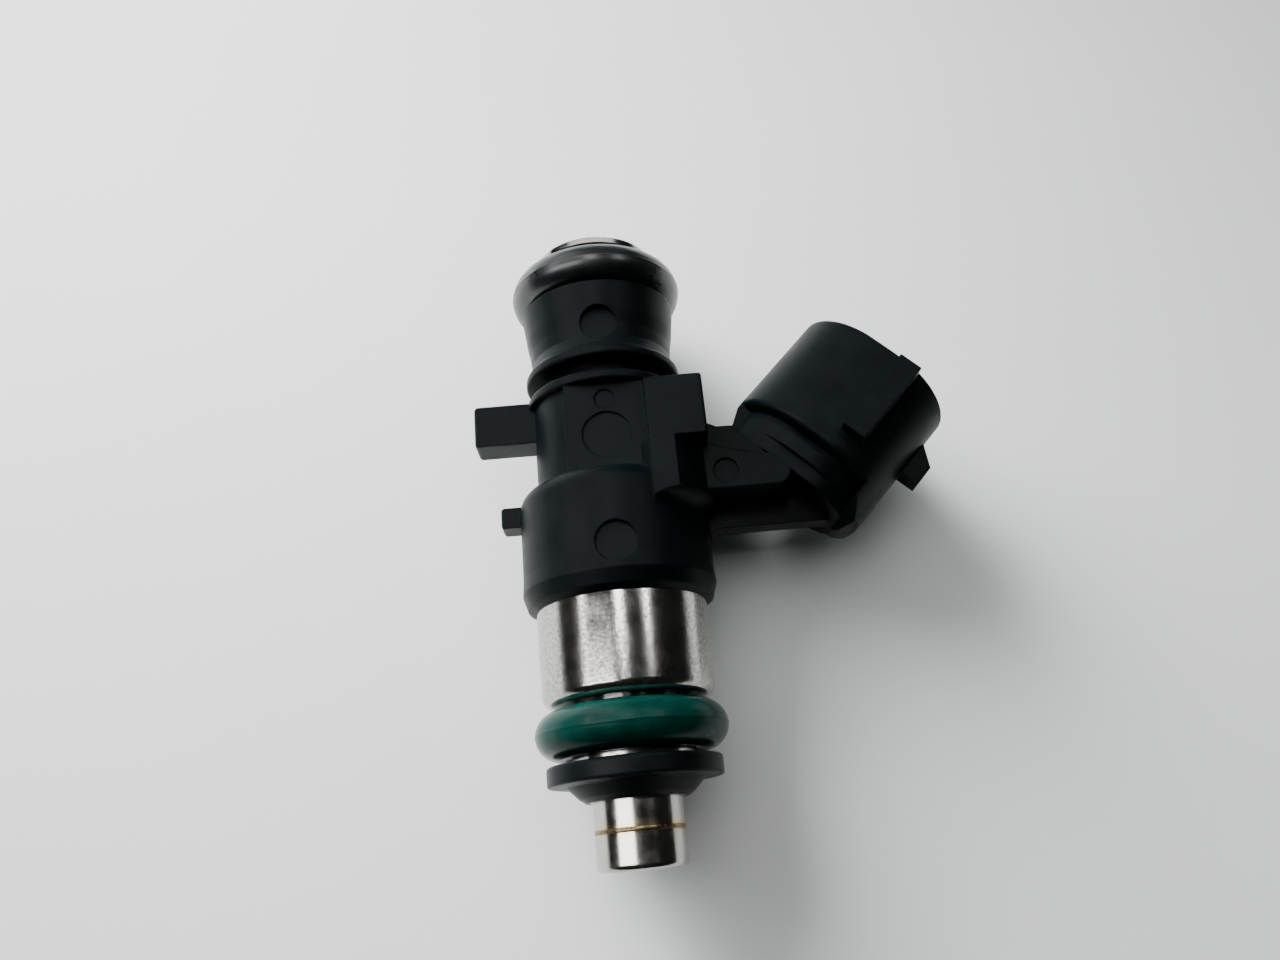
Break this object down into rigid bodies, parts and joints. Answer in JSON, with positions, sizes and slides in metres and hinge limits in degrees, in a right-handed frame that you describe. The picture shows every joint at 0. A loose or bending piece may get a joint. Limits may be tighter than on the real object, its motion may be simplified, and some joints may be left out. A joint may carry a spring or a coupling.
{
  "type": "fuel injector",
  "caption": "Solenoid port fuel injector with a tilted oval electrical connector, a nickel cup round the coil, a steel nozzle tube and rubber seals at both ends.",
  "frame": {"origin": "centre of the nozzle's tip face, on the injector's axis", "axes": "+Z along the axis from the nozzle to the fuel inlet, +X to the side of the electrical connector, +Y completing a right-handed frame across the mould's parting plane"},
  "size_m": [0.0385, 0.0152, 0.0501],
  "materials": {
    "housing_plastic": "fine mottled satin, moulded",
    "seal_plastic": "smooth satin, moulded",
    "nickel_steel": "satin nickel plate",
    "stainless": "drawn and polished",
    "hard_steel": "ground and polished",
    "soft_iron": "turned, satin",
    "spring_steel": "drawn wire",
    "copper_wire": "enamelled copper wire, wound",
    "bobbin_plastic": "natural moulded plastic",
    "tinned_brass": "stamped and tinned",
    "brass": "turned",
    "green_rubber": "satin moulded rubber",
    "black_rubber": "satin moulded rubber",
    "filter_plastic": "natural moulded plastic",
    "filter_mesh": "woven filter cloth"
  },
  "bodies": {
    "injector": {"housing": "housing_plastic", "magnet_housing": "nickel_steel", "valve_sleeve": "stainless", "backing_ring": "seal_plastic", "seal_retainer_collar": "nickel_steel", "lower_o_ring": "green_rubber", "upper_o_ring": "black_rubber", "orifice_plate": "stainless", "valve_seat": "hard_steel", "return_spring": "spring_steel", "adjusting_tube": "spring_steel", "inner_pole": "soft_iron", "stop_ring": "hard_steel", "coil_bobbin": "bobbin_plastic", "coil_winding": "copper_wire", "flux_washer": "soft_iron", "terminal_blade_left": "tinned_brass", "terminal_blade_right": "tinned_brass", "inlet_filter_body": "filter_plastic", "inlet_filter_mesh": "filter_mesh", "inlet_filter_ring": "brass"},
    "needle": {"armature": "soft_iron", "needle_tube": "stainless", "valve_ball": "hard_steel"}
  },
  "joints": [
    {"name": "needle_lift", "type": "slide", "parent": "injector", "child": "needle", "axis": [0, 0, 1], "range_m": [0, 0.00009], "stiffness_N_per_m": 1800, "springref_m": -0.0017, "deforming": ["return_spring"]}
  ]
}
